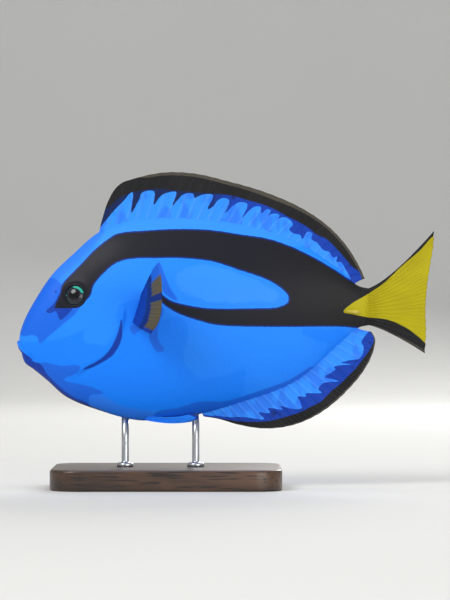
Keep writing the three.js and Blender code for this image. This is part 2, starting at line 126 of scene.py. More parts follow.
def insideBy(x, z, loop):    # millimetres inside a closed outline, negative outside
    closed = np.vstack([loop, loop[:1]])
    inside = np.zeros(x.shape, bool)
    for (ax, az), (bx, bz) in zip(closed[:-1], closed[1:]):
        if az != bz:
            inside ^= ((az > z) != (bz > z)) & (x < ax + (z - az) * (bx - ax) / (bz - az))
    return np.where(inside, 1, -1) * lineMiss(x, z, closed)


# Materials

def linear(hexColour):
    parts = (int(hexColour[i:i + 2], 16) / 255 for i in (1, 3, 5))
    return tuple(c / 12.92 if c <= 0.04045 else ((c + 0.055) / 1.055) ** 2.4 for c in parts) + (1,)


def addNode(tree, kind, inputs=(), **settings):    # inputs: pairs of a socket and its value or its source
    node = tree.nodes.new(kind)
    for key, value in settings.items():
        setattr(node, key, value)
    for socket, value in inputs:
        if isinstance(value, bpy.types.NodeSocket):
            tree.links.new(value, node.inputs[socket])
        else:
            node.inputs[socket].default_value = value
    return node


def newFinish(name, roughness, coat=0, coatRoughness=0.1, metallic=0, specular=0.2):
    finish = bpy.data.materials.new(name)
    finish.use_nodes = True
    tree = finish.node_tree
    tree.nodes.clear()
    shader = addNode(tree, "ShaderNodeBsdfPrincipled", [
        ("Roughness", roughness), ("Coat Weight", coat), ("Coat Roughness", coatRoughness),
        ("Metallic", metallic), ("Specular IOR Level", specular),
    ])
    addNode(tree, "ShaderNodeOutputMaterial", [("Surface", shader.outputs[0])])
    return finish, tree, shader


def setColour(tree, shader, colour):
    tree.links.new(colour, shader.inputs["Base Color"])


def measure(tree, name):    # a value kept on the mesh, in millimetres or as a share
    return addNode(tree, "ShaderNodeAttribute", attribute_name=name).outputs["Fac"]


def step(tree, value, low, high):    # 0 below low, 1 above high
    node = addNode(tree, "ShaderNodeMapRange", [
        ("Value", value), ("From Min", low), ("From Max", high),
    ], interpolation_type="SMOOTHSTEP")
    return node.outputs["Result"]


def blend(tree, share, one, other):    # colours: one where share is 0, other where it is 1
    return addNode(tree, "ShaderNodeMix", [(0, share), (6, one), (7, other)], data_type="RGBA").outputs[2]


def maths(tree, operation, *values):
    return addNode(tree, "ShaderNodeMath", list(enumerate(values)), operation=operation).outputs[0]


def onObject(tree, stretch):    # the place on the object, in metres
    place = addNode(tree, "ShaderNodeTexCoord").outputs["Object"]
    return addNode(tree, "ShaderNodeMapping", [("Vector", place), ("Scale", stretch)]).outputs[0]


def noise(tree, millimetres, detail=2, stretch=(1, 1, 1), roughness=0.5):    # mottling of that size
    return addNode(tree, "ShaderNodeTexNoise", [
        ("Vector", onObject(tree, stretch)), ("Scale", 1000 / millimetres), ("Detail", detail),
        ("Roughness", roughness),
    ]).outputs["Fac"]


def swing(tree, millimetres, height, detail=2):    # noise of that size about zero
    return maths(tree, "MULTIPLY", maths(tree, "SUBTRACT", noise(tree, millimetres, detail), 0.5), height)


def mottled(tree, millimetres, low, high, one, other, **look):    # two colours in patches of that size
    return blend(tree, step(tree, noise(tree, millimetres, **look), low, high), one, other)


def bump(tree, shader, height, depth):    # depth in millimetres
    node = addNode(tree, "ShaderNodeBump", [("Strength", 1), ("Distance", depth / 1000), ("Height", height)])
    tree.links.new(node.outputs[0], shader.inputs["Normal"])


# shade and royal also paint shade on the skin and the pectoral; brown paints the fins' edge highlight and the
# throat's shaded edge
blues = {
    "bright": "#1C86FF", "deep": "#0F7FFC", "pale": "#2E8EFF", "shade": "#1565DE", "royal": "#0A3CA8",
    "navy": "#0A2A7A", "ink": "#151520", "soot": "#1A1A1C", "brown": "#4B463D", "dull": "#2A7AF0",
}
paint = {name: linear(value) for name, value in blues.items()}
thinLacquer = {"roughness": 0.54, "coat": 0.05, "coatRoughness": 0.25, "specular": 0.18}
skinLacquer = {"roughness": 0.54, "coat": 0.06, "coatRoughness": 0.22, "specular": 0.18}
scaleSize = 1.5    # millimetres; the real scales are smaller, and these are drawn so that they show


def skinFinish():
    # Painted resin skin under thin lacquer: vivid blue and near-black with a soft, slightly wet shine.
    finish, tree, shader = newFinish("lacqueredBlueSkin", **skinLacquer)
    wobble = swing(tree, 2.2, 0.5)
    drift = swing(tree, 16, 7, detail=3)
    colour = mottled(tree, 40, 0.3, 0.7, linear("#1A84FF"), linear("#1F88FF"), detail=1)
    # shade and royal here are painted shade, and the shade loops include the pectoral's painted shadow
    for mark, soft, ragged in (
        ("deep", 0.9, drift), ("pale", 0.9, drift), ("dull", 1.4, wobble), ("shade", 0.6, wobble),
        ("royal", 0.3, wobble),
    ):
        inside = maths(tree, "ADD", measure(tree, mark), ragged)
        colour = blend(tree, step(tree, inside, -soft, soft), colour, paint[mark])
    band = maths(tree, "ADD", measure(tree, "band"), wobble)
    colour = blend(tree, step(tree, band, -0.25, 0.15), colour, paint["navy"])
    colour = blend(tree, step(tree, band, 0.35, 1.1), colour, paint["ink"])
    tips = maths(tree, "MINIMUM", measure(tree, "bandTip"), band)
    colour = blend(tree, step(tree, tips, -0.1, 0.5), colour, paint["royal"])
    colour = blend(tree, measure(tree, "sooty"), colour, paint["soot"])
    # the brown line of painted shade along the throat's underside
    colour = blend(tree, measure(tree, "keelShade"), colour, paint["brown"])
    colour = blend(tree, step(tree, measure(tree, "yellow"), -0.2, 0.25), colour, linear("#B3A704"))
    setColour(tree, shader, colour)
    scales = addNode(tree, "ShaderNodeTexVoronoi", [
        ("Vector", onObject(tree, (0.8, 0.6, 1))), ("Scale", 1000 / scaleSize),
    ]).outputs["Distance"]
    bump(tree, shader, maths(tree, "ADD", scales, noise(tree, 6, detail=3)), 0.07)
    return finish


# The body: the back and belly in the side view, then by ring the half width and how blunt the section
# is above and below its widest height
body = {
    "back": [
        (0.8, -17.4), (1.6, -12.5), (4.5, -4.5), (10.5, 6.5), (20, 20.5), (31.5, 31.8), (47, 45), (64.5, 52),
        (93.5, 53.6), (128, 50), (160, 40.2), (185.5, 23.4), (196, 14.2), (203, 12.4),
    ],
    "belly": [
        (2.4, -21.6), (2.6, -26.2), (4.4, -30.6), (9, -34), (17, -40.5), (28, -50), (47, -57.8),
        (70.5, -63.6), (99.5, -61), (128, -53.6), (160, -41.4), (185.5, -19.6), (196, -10.4), (203, -8.6),
    ],
    "girth": [
        (2.2, 0.5, 0.5), (4.6, 0.5, 0.5), (6.4, 0.5, 0.5), (8.6, 0.52, 0.5), (10.9, 0.56, 0.52),
        (12.8, 0.6, 0.54), (15.2, 0.68, 0.56), (17, 0.74, 0.58), (16.8, 0.76, 0.62), (14.4, 0.76, 0.64),
        (10.2, 0.7, 0.62), (5.6, 0.58, 0.56), (4, 0.5, 0.5), (3.3, 0.5, 0.5),
    ],
    "widest": 0.06,
    "rings": 330,
    "sides": 236,
    "headRings": 0.5,    # the share of the rings that lies ahead of headEnd
    "headEnd": 0.39,
}
outlines = {side: [(x, 0, z) for x, z in body[side]] for side in ("back", "belly")}


def halfWidth(t, height):
    girth = curveAt(body["girth"], t, even=True)
    widest = body["widest"]
    above = height > widest
    off = np.where(above, (height - widest) / (1 - widest), (widest - height) / (1 + widest))
    edge = np.where(above, girth[:, 1], girth[:, 2])
    return girth[:, 0] * np.maximum(0, 1 - off * off) ** edge


def flank(x, z):    # the body's half width where the side view shows x and z
    x, z = np.atleast_1d(np.asarray(x, float)), np.atleast_1d(np.asarray(z, float))

    def share(t):
        back, belly = curveAt(outlines["back"], t), curveAt(outlines["belly"], t)
        rise = (z - belly[:, 2]) / (back[:, 2] - belly[:, 2])
        return rise, belly[:, 0] + rise * (back[:, 0] - belly[:, 0]) - x

    t = bisect(lambda s: share(s)[1], len(x))
    return halfWidth(t, 2 * share(t)[0] - 1)


def flankNormal(x, z, half=0.5):
    slopeX = (flank(x + half, z) - flank(x - half, z))[0]
    slopeZ = (flank(x, z + half) - flank(x, z - half))[0]
    return Vector((-slopeX, -1, -slopeZ)).normalized()


def onOutline(side, x):
    x = np.atleast_1d(np.asarray(x, float))
    return curveAt(outlines[side], bisect(lambda t: curveAt(outlines[side], t)[:, 0] - x, len(x)))


# Markings, as closed outlines in the side view
markings = {
    "band": [
        (26, 14.5), (36, 25.5), (44.5, 34.5), (52, 40.5), (58, 44), (72.5, 45.5), (91, 46.5), (110.5, 46),
        (128, 43.5), (144, 41), (155, 37.5), (169, 31), (183, 23), (191.5, 17.5), (199, 15.5), (212, 14),
        (212, -11), (200, -10.8), (186, -9.6), (160, -9.6), (127, -9.3), (113, -8.2), (101.7, -5.1),
        (92.9, -2), (84.9, 2.9), (80.5, 8), (77.9, 15.6), (82.3, 10.4), (87.6, 5.9), (97.3, 2.9), (110.5, 1),
        (137, 1), (149.4, 1.6), (155.4, 4.4), (155.6, 8.2), (150.5, 13.4), (142.3, 18), (126.9, 23.2),
        (116.6, 26.7), (110.5, 28.2), (93.8, 29.8), (82.4, 29.8), (64.7, 29.2), (56.6, 26.6), (50, 21.1),
        (44.4, 14.4), (42.6, 8.6), (40.4, 5.8), (36.7, 3.9), (33, 1.7), (30.7, -0.9), (27.8, -3.9),
        (25, -5.4), (22.6, -0.6), (19.1, -1.7), (16.9, -0.9), (21.3, 3.5), (24.6, 9.2),
    ],
    "yellow": [
        (187.5, -1), (192, 3.5), (200.5, 8.5), (211, 15.5), (221, 25), (231.5, 34), (241, 43), (246, 30),
        (246, -18), (238, -21), (230.5, -15), (223.5, -10), (213, -5.5), (200.5, -4), (193, -2.5),
    ],
    "gillEdge": [
        (44, 62), (48.5, 43), (56, 28), (61.5, 12), (61.8, 0), (59.8, -12), (55.5, -21.5), (48, -28),
        (37.5, -34.5), (31, -43), (27, -53), (24, -66),
    ],
    # Painted shade on the blue: on the snout and the throat, the pectoral's painted shadow beside and below
    # it, and along the belly
    "shade": [
        [
            (20.9, 18.4), (25.5, 15), (30, 9), (36, 6), (40, 5), (38.2, 3.5), (33, -2.9), (26.1, -8.6),
            (18.6, -15), (13.4, -19), (11.7, -15.6), (8.8, -14.4), (3.6, -15), (-2, -10), (8, 6),
            (15.7, 17),
        ],
        [
            (14, -30.3), (25.5, -31.9), (36.5, -31.9), (35.7, -35.3), (27.2, -39.9), (43.4, -44.2),
            (49.7, -47.7), (41.8, -49.2), (40.5, -55), (30.1, -52), (15, -42), (11, -34),
        ],
        [(82, 26.8), (84.7, 21), (88.2, 12.5), (92.8, 5.2), (84.3, 10.2), (82.7, 18.7), (77.4, 21.8)],
        [
            (80.8, -9.2), (83.4, 2.3), (84.3, 0), (82, -6.9), (81.2, -16.8), (85, -23), (81.2, -24.1),
            (78.9, -22.2), (76.2, -13.7),
        ],
        [(65, -9.1), (74.3, -9.1), (71.6, -10.9), (67.3, -14.1)],
        [
            (79.3, -59.2), (92, -56.2), (105, -52.6), (119, -52.4), (129.6, -49.6), (140.6, -46),
            (156.2, -40.2), (170, -32.6), (172, -35), (158.1, -44.6), (145.2, -50), (126.8, -56.4),
            (113.1, -59.2), (104.8, -61), (92, -65), (79, -66),
        ],
    ],
    # A deeper blue on the lower cheek and flank and ahead of the anal fin
    "deep": [
        [
            (3, -20), (13, -19), (22, -17.6), (32, -14), (39, -10.5), (39.5, -17.5), (46, -19.5), (51, -20.5),
            (57, -11), (59.6, 2.5), (65, 4.8), (72, 4), (80, -6), (90, -4), (98, -8), (97, -30), (105, -44),
            (95, -54), (70, -58), (45, -52), (25, -38), (10, -30),
        ],
        [
            (163, -11.5), (180, -11), (190, -13), (190, -20), (183, -26), (172, -33), (166, -36), (175, -25),
            (178, -20), (170, -17),
        ],
        [(99, -43), (118, -38), (131, -33.5), (131, -40), (128, -50), (110, -53), (99, -52)],
    ],
    # A paler blue inside the ring of the band; the back above paleBack is as pale
    "pale": [
        (92, 20), (96, 24), (105, 25.5), (118, 24.5), (130, 20), (143, 14), (150, 9), (148, 5.5),
        (138, 4.8), (120, 5), (105, 6.5), (96, 10), (92, 15),
    ],
    "paleBack": 38,
    # A duller blue on the forehead and under the breast
    "dull": [
        [(50, 46), (44, 37), (33, 26), (24, 17), (12, 6), (4, 14), (30, 42), (46, 52)],
        [
            (41, -50), (47.7, -48.6), (59, -54.6), (78, -58.4), (97, -60), (97, -66), (78, -68), (58, -64),
            (41, -57),
        ],
    ],
    # Painted shade in a dark crescent along the gill cover's edge
    "crescent": [
        (60.4, -4.9), (60.8, -9.9), (60.5, -16), (58.4, -21.4), (55, -26.1), (49.6, -29.8), (41.9, -33.4),
        (37.6, -34.4), (38.8, -33.2), (44.9, -30.1), (49.6, -26.9), (53.4, -22.8), (56.1, -18), (57.9, -13.7),
        (59.2, -9.1), (60.2, -4.9),
    ],
    # Painted shade on the lower jaw and along the edge of the throat
    "royal": [
        (2.2, -21.4), (4.6, -25), (9.4, -29.6), (13.3, -30.8), (17.5, -37.2), (25.5, -45.1), (31.8, -49.8),
        (42, -55.2), (40, -60), (20, -48), (5, -36), (-1, -27),
    ],
}
bandLoop = closedLoop(markings["band"])
yellowLoop = closedLoop(markings["yellow"])
gillLine = curveAt(markings["gillEdge"], np.linspace(0, 1, 120))
gillCover = {
    "swell": 1, "reach": 7, "top": -4, "bottom": -32, "fade": 9, "groove": 0.3, "grooveAt": 1.9,
    "grooveWide": 1.2,
}
eyes = {
    "at": (33.4, 8.4), "radius": 6.3, "depth": 3.7, "inset": 1.9, "rim": 0.95, "pupil": 3.05, "arc": 5,
    "orbit": 0.45, "orbitAt": 8.4, "orbitWide": 2, "socket": 2.4, "socketFrom": 4.6, "socketTo": 6.2,
}
jawFold = {"line": [(7.4, -26.2), (9.6, -30), (10.2, -34)], "depth": 0.5, "wide": 0.7}
# The throat's brown edge, a line of painted shade, by x, and the band's royal tips, which lie ahead of the
# eye and below it
keelLine = {"strength": 0.85, "start": 2.5, "full": 5, "thin": 42, "end": 56}
bandTip = {"x": 22.2, "z": 2.1, "slope": 0.32, "below": 1.2, "end": 46}
softLoops = {mark: [closedLoop(loop) for loop in markings[mark]] for mark in ("shade", "deep", "dull")}
softLoops.update({mark: [closedLoop(markings[mark])] for mark in ("pale", "royal", "crescent")})
noMark = -9    # millimetres outside a mark, past all of its soft edge


def skinMarks(spots, keelShade=None):    # the values that the skin's finish reads
    x, z = spots[:, 0], spots[:, 2]
    band = insideBy(x, z, bandLoop)
    inside = {
        mark: np.max([insideBy(x, z, loop) for loop in loops], axis=0) for mark, loops in softLoops.items()
    }
    frontEdge = bandTip["x"] + (z - bandTip["z"]) * bandTip["slope"]
    tips = np.maximum(bandTip["below"] - z, frontEdge - x)
    return {
        "band": band,
        "bandTip": np.where(x < bandTip["end"], tips, noMark),
        "yellow": insideBy(x, z, yellowLoop),
        "shade": inside["shade"],
        "deep": inside["deep"],
        "dull": inside["dull"],
        # the painted shade of the jaw, the throat and the gill cover's edge share one mark
        "royal": np.maximum(inside["royal"], inside["crescent"]),
        "pale": np.maximum(inside["pale"], z - markings["paleBack"]),
        "sooty": ease(130, 185, x) * ease(0.6, 1.4, band),
        "keelShade": np.zeros(x.shape) if keelShade is None else keelShade,
    }


# Pieces

def spotsOf(bm):
    return np.array([v.co for v in bm.verts])


def meshObject(bm, name, finish):
    bmesh.ops.recalc_face_normals(bm, faces=bm.faces)
    mesh = bpy.data.meshes.new(name)
    bm.to_mesh(mesh)
    bm.free()
    mesh.materials.append(finish)
    mesh.shade_smooth()
    made = bpy.data.objects.new(name, mesh)
    bpy.context.scene.collection.objects.link(made)
    return made


def addPiece(bm, name, finish, nodes=(), spots=None, values=None, uv=None):
    if spots is not None:
        for vert, spot in zip(bm.verts, inRow(spots)):
            vert.co = spot
    piece = meshObject(bm, name, finish)
    mesh = piece.data
    for key, numbers in (values or {}).items():
        mesh.attributes.new(key, "FLOAT", "POINT").data.foreach_set("value", np.asarray(numbers, np.float32))
    if uv is not None:
        corners = np.zeros(len(mesh.loops), np.int32)
        mesh.loops.foreach_get("vertex_index", corners)
        layer = mesh.uv_layers.new(name="finMap")
        layer.data.foreach_set("uv", np.asarray(uv, np.float32)[corners].ravel())
    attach(piece, "root")
    if nodes:
        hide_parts(*nodes)


def roundForm(rings, sides):    # a closed form: how far along and how far round each vertex is
    bm = bmesh.new()
    bmesh.ops.create_uvsphere(bm, u_segments=sides, v_segments=rings, radius=1)
    unit = spotsOf(bm)
    along = np.round(np.arccos(np.clip(unit[:, 2], -1, 1)) / math.pi * rings) / rings
    angle = np.arctan2(unit[:, 1], unit[:, 0])
    pole = (along == 0) | (along == 1)
    return bm, along, angle, pole


def makeSkin(finish):
    bm, along, angle, pole = roundForm(body["rings"], body["sides"])
    ahead = along < body["headRings"]
    share = np.where(
        ahead,
        along / body["headRings"] * body["headEnd"],
        body["headEnd"] + (along - body["headRings"]) / (1 - body["headRings"]) * (1 - body["headEnd"]),
    )
    t = byLength(outlines["back"], share)
    rise, widest = np.cos(angle), body["widest"]
    height = widest + np.where(rise > 0, 1 - widest, 1 + widest) * rise
    height[pole] = 0
    back, belly = curveAt(outlines["back"], t), curveAt(outlines["belly"], t)
    spots = (back + belly) / 2 + (back - belly) / 2 * height[:, None]
    width = halfWidth(t, height)
    width[pole] = 0
    x, z = spots[:, 0], spots[:, 2]
    # The gill cover stands out of the cheek and ends in a step with a groove behind it.
    lead = lineMiss(x, z, gillLine) * np.sign(np.interp(-z, -gillLine[:, 1], gillLine[:, 0]) - x)
    tall = ease(gillCover["bottom"] - gillCover["fade"], gillCover["bottom"], z)
    tall *= 1 - ease(gillCover["top"], gillCover["top"] + gillCover["fade"], z)
    cover = gillCover["swell"] * np.exp(-np.maximum(0, lead) / gillCover["reach"])
    cover *= 1 - ease(-0.6, 1.8, -lead)
    cover -= gillCover["groove"] * np.exp(-((lead + gillCover["grooveAt"]) / gillCover["grooveWide"]) ** 2)
    width += tall * cover * np.minimum(1, width / 6)
    # The socket drops under the eyeball, inside a low swollen orbit.
    away = np.hypot(x - eyes["at"][0], z - eyes["at"][1])
    width += eyes["orbit"] * np.exp(-((away - eyes["orbitAt"]) / eyes["orbitWide"]) ** 2)
    width -= eyes["socket"] * (1 - ease(eyes["socketFrom"], eyes["socketTo"], away))
    # A fold runs down from the corner of the mouth and marks the jaw.
    width -= jawFold["depth"] * np.exp(-(lineMiss(x, z, jawFold["line"]) / jawFold["wide"]) ** 2)
    width[pole] = 0
    spots[:, 1] = np.sign(np.sin(angle)) * np.maximum(width, 0)
    spots[np.isclose(np.abs(rise), 1), 1] = 0
    # A brown line of painted shade runs along the throat's underside.
    keelShade = keelLine["strength"] * ease(0.975, 0.992, -height) * ease(keelLine["start"], keelLine["full"], x)
    keelShade *= 1 - ease(keelLine["thin"], keelLine["end"], x)
    covered = ["head", "jaw", "torso", "tail_stalk"]
    addPiece(bm, "skin", finish, covered, spots, skinMarks(spots, keelShade))


def ropeForm(path, radius, rings, sides):    # path and radius are functions of the share along
    bm, along, angle, pole = roundForm(rings, sides)
    middle = path(along)
    run = path(np.minimum(along + 1e-3, 1)) - path(np.maximum(along - 1e-3, 0))
    run /= np.linalg.norm(run, axis=1)[:, None]
    side = np.cross(run, np.tile([0.0, 0.0, 1.0], (len(run), 1)))
    side /= np.linalg.norm(side, axis=1)[:, None]
    up = np.cross(side, run)
    r = np.where(pole, 0, radius(along))[:, None]
    return bm, middle + r * (np.cos(angle)[:, None] * side + np.sin(angle)[:, None] * up)


mouth = {
    "front": (1.0, -19.7), "corner": (8.8, -28.2), "radius": 1.15, "endRadius": 0.45, "part": 0.95,
    "turn": 0.442,    # the share of each half that bends round the front
    "flankFrom": 2.2, "tuck": 0.7,    # the ends are tucked in that far at the corner
}


def lipPath(shift, sunk=0.0):    # from the left corner of the mouth round the front to the right one
    def path(u):
        s = 2 * np.asarray(u) - 1
        a = np.abs(s)
        (frontX, frontZ), (cornerX, cornerZ) = mouth["front"], mouth["corner"]
        spread = mouth["part"] * shift * (1 - 0.65 * a)
        x = frontX + (cornerX - frontX) * a**1.6 - spread * 0.25 + sunk
        z = frontZ + (cornerZ - frontZ) * a**1.15 + spread
        y = flank(np.maximum(x, mouth["flankFrom"]), z) - 0.2 - sunk - mouth["tuck"] * ease(0.65, 1, a)
        y *= ease(0, mouth["turn"], a)
        return np.stack([x, np.sign(s) * y, z], axis=1)

    return path


def makeMouth(finish, dark):
    def radius(u):
        return mouth["endRadius"] + (mouth["radius"] - mouth["endRadius"]) * np.sqrt(np.sin(math.pi * u))

    for name, shift in (("lip_upper", 1), ("lip_lower", -1)):
        bm, spots = ropeForm(lipPath(shift), radius, 96, 20)
        marks = skinMarks(spots)
        marks["royal"] = np.full(len(spots), -4.0 * shift)    # the lower lip takes the jaw's painted shade
        addPiece(bm, name, finish, spots=spots, values=marks)
    bm, spots = ropeForm(lipPath(0, 0.35), lambda u: 0.55 + 0 * u, 64, 12)
    addPiece(bm, "mouth_shadow", dark, spots=spots)


def eyeFrame(at):
    normal = flankNormal(*at)
    return Vector((at[0], -flank(*at)[0], at[1])), normal, Vector((0, 0, 1)).rotation_difference(normal)


def spinRound(bm, geom, steps):    # one full turn about z
    bmesh.ops.spin(
        bm, geom=geom, cent=(0, 0, 0), axis=(0, 0, 1), dvec=(0, 0, 0), angle=2 * math.pi, steps=steps,
        use_merge=True, use_duplicate=False,
    )


def ringOn(bm, at, radius, tube, lift, side, steps=56, sides=14):    # a ring of skin lying on the flank
    middle, normal, turn = eyeFrame(at)
    circle = bmesh.ops.create_circle(bm, cap_ends=False, segments=sides, radius=tube)["verts"]
    for vert in circle:
        vert.co = Vector((radius + vert.co.x, 0, vert.co.y))
    edges = list({edge for vert in circle for edge in vert.link_edges})
    before = set(bm.verts) - set(circle)
    spinRound(bm, circle + edges, steps)
    for vert in set(bm.verts) - before:
        spot = turn @ vert.co + middle + normal * lift
        vert.co = Vector((spot.x, spot.y * -side, spot.z))


def makeEye(side, name, finish, skin):
    middle, normal, turn = eyeFrame(eyes["at"])
    bm, along, angle, pole = roundForm(40, 64)
    radius, depth = eyes["radius"], eyes["depth"]
    ring = np.where(pole, 0, radius * np.sin(along * math.pi))
    local = np.stack([ring * np.cos(angle), ring * np.sin(angle), depth * np.cos(along * math.pi)], 1)
    turned = np.array([turn @ Vector(spot) for spot in local]) + np.array(middle - normal * eyes["inset"])
    turned[:, 1] *= -side
    across = turned - np.array([middle.x, 0, middle.z])
    addPiece(bm, f"eyeball_{name}", finish, [f"eye_{name}"], turned, {
        "fromMiddle": ring,
        "turnRound": np.degrees(np.arctan2(across[:, 2], across[:, 0])),
    })
    bm = bmesh.new()
    ringOn(bm, eyes["at"], radius + 0.1, eyes["rim"], -0.25, side)
    spots = spotsOf(bm)
    marks = skinMarks(spots)
    marks["band"] = np.maximum(marks["band"], 3)    # the rim is near-black all round
    marks["bandTip"] = np.full(len(spots), noMark)
    addPiece(bm, f"eye_rim_{name}", skin, spots=spots, values=marks)


nostrils = [((25.2, 12.6), 0.8), ((22.4, 10.6), 0.6)]


def makeNostrils(side, name, skin, dark):
    rims = bmesh.new()
    for at, radius in nostrils:
        ringOn(rims, at, radius, 0.28, 0.05, side, steps=24, sides=10)
    spots = spotsOf(rims)
    addPiece(rims, f"nostril_rims_{name}", skin, spots=spots, values=skinMarks(spots))
    pits = bmesh.new()
    for at, radius in nostrils:
        middle, _, turn = eyeFrame(at)
        for vert in bmesh.ops.create_uvsphere(pits, u_segments=16, v_segments=8, radius=radius)["verts"]:
            spot = turn @ Vector((vert.co.x, vert.co.y, vert.co.z * 0.3)) + middle
            vert.co = Vector((spot.x, spot.y * -side, spot.z))
    addPiece(pits, f"nostril_pits_{name}", dark, spots=spotsOf(pits))


# Fins

finSkin = {"membrane": 0.42, "rayRoot": 0.8, "rayTip": 0.24, "scallop": 0.006, "crest": 0.12, "fork": 0.22}


def rayCrest(u, v, fin):    # 1 on a ray; the soft rays, after the spines, fork on the way out
    place = u * (fin["rays"] - 1)
    number = np.rint(place)
    off = place - number
    fork = np.where(number >= fin["spines"], finSkin["fork"] * ease(0.3, 1, v), 0)
    slim = finSkin["crest"] * (1 - 0.35 * ease(0.3, 0.8, v))
    return np.maximum(np.exp(-((off - fork) / slim) ** 2), np.exp(-((off + fork) / slim) ** 2))


def finGrid(fin):    # shares along the root and out along the rays, drawn in between the rays at the margin
    u, v = np.meshgrid(
        np.linspace(0, 1, (fin["rays"] - 1) * fin["perRay"] + 1), np.linspace(0, 1, fin["rows"] + 1),
    )
    between = np.sin(math.pi * u * (fin["rays"] - 1)) ** 2
    return u, v, (v * (1 - finSkin["scallop"] * between * v**8))[:, :, None]


def addFin(name, fin, finish, node, u, v, spots, values, bulge=0):
    values["ray"] = rayCrest(u, v, fin)
    ray = finSkin["rayRoot"] + (finSkin["rayTip"] - finSkin["rayRoot"]) * v
    thickness = finSkin["membrane"] + ray * values["ray"] + fin["root"] * (1 - v) ** fin["rootFade"] + bulge
    rows, columns = thickness.shape
    bm = bmesh.new()
    bmesh.ops.create_grid(bm, x_segments=columns - 1, y_segments=rows - 1, size=1)
    bmesh.ops.extrude_face_region(bm, geom=bm.faces[:], use_keep_orig=True)
    flat = spotsOf(bm)
    column = np.rint((flat[:, 0] + 1) / 2 * (columns - 1)).astype(int)
    row = np.rint((flat[:, 1] + 1) / 2 * (rows - 1)).astype(int)
    face = np.where(np.arange(len(flat)) < rows * columns, -0.5, 0.5)
    normal = np.cross(np.gradient(spots, axis=1), np.gradient(spots, axis=0))
    normal /= np.linalg.norm(normal, axis=2)[:, :, None]
    both = spots[row, column] + normal[row, column] * (face * thickness[row, column])[:, None]
    kept = {key: numbers[row, column] for key, numbers in values.items()}
    corners = np.stack([u[row, column], v[row, column]], 1)
    addPiece(bm, name, finish, [node], both, kept, corners)


dorsal = {
    "rays": 28, "spines": 9, "perRay": 14, "rows": 44, "side": "back", "wave": 1.3, "waves": 4.1,
    "root": 1.9, "rootFade": 5,
    "pairs": [    # x of a ray's root on the outline, then its tip
        (46.6, (48.4, 51.4)), (50, (52.2, 63)), (55, (58.4, 72.2)), (63, (69, 76.3)), (76, (84.5, 79.3)),
        (92, (102, 78.7)), (110, (122, 74)), (128, (142, 68.2)), (146, (162, 59.6)), (162, (177.5, 49.5)),
        (176, (189.2, 37.4)), (187, (197.4, 24)), (193, (200, 18)),
    ],
    # The light blue's outline, a lobe to each pair of rays with a dark notch behind it
    "light": [
        (48.3, 48.4), (55.7, 57.4), (60.5, 62.2), (65.3, 67.6), (66.4, 67.8), (65.5, 56), (70.1, 63.8),
        (71.7, 67.6), (78.6, 68.3), (78.4, 60.6), (81.8, 64.9), (84.5, 67), (87.2, 67.8), (91.4, 67.9),
        (89.1, 59.9), (92.5, 63.8), (95.7, 66.7), (101, 67), (102.1, 64.4), (104.2, 65.6), (108.5, 66.7),
        (112.7, 66), (109.3, 58), (112.7, 59.6), (115.4, 63.3), (118.1, 64.4), (121.3, 63.8), (122, 62.2),
        (119.4, 55.6), (123.4, 59.6), (127.1, 61.9), (130.9, 61.9), (132.5, 60.6), (129, 52.6), (133, 56.9),
        (136.2, 59.3), (139.9, 59.5), (140.4, 55.6), (143.6, 58), (145.8, 57.2), (142, 51.6), (145.2, 54.6),
        (147.4, 55.6), (150.9, 54.6), (145.5, 46.8), (149.5, 51.6), (152.2, 53.4), (155.9, 52.6),
        (158.6, 49.4), (156.4, 46.5), (158.6, 44.3), (162.8, 43.1), (163.9, 40.7), (167.1, 45.2),
        (169.8, 44.1), (169.2, 40.9), (172.4, 38.8), (176.2, 34.5), (179.9, 33.2), (181.5, 30.3),
        (184.2, 30.8), (183.6, 27.9), (186.3, 27.6), (188.4, 24.4), (190.5, 20.7), (191.6, 18.5), (191, 12),
        (150, 28), (100, 38), (50, 34), (42, 40),
    ],
    # Its royal blue surround, which reaches beyond it most at the front spine and toward the rear
    "royal": [
        (46.9, 48.9), (48.8, 54.8), (50.9, 58.5), (53.1, 59.6), (58.4, 64.4), (63.2, 66.7), (71.2, 68.8),
        (79.7, 69.9), (91.4, 68.8), (102.1, 67.8), (113.8, 66.9), (119.1, 66.5), (125.5, 65.4),
        (134, 62.8), (140.5, 61), (146.8, 58.5), (156.4, 53.4), (160.7, 51.3), (168.2, 46.8), (172.4, 43.3),
        (177.8, 40.9), (186.3, 32.4), (193.7, 24.1), (199.1, 20.7), (198, 15), (191, 10), (150, 28),
        (100, 38), (50, 34), (42, 40),
    ],
    "brown": [(69, 0), (76, 1.9), (130, 2.2), (150, 2.7), (180, 1.6), (200, 1.5)],    # the margin's painted edge highlight, by x
    "inkyTo": (106, 124),    # the royal is inky ahead of there
}
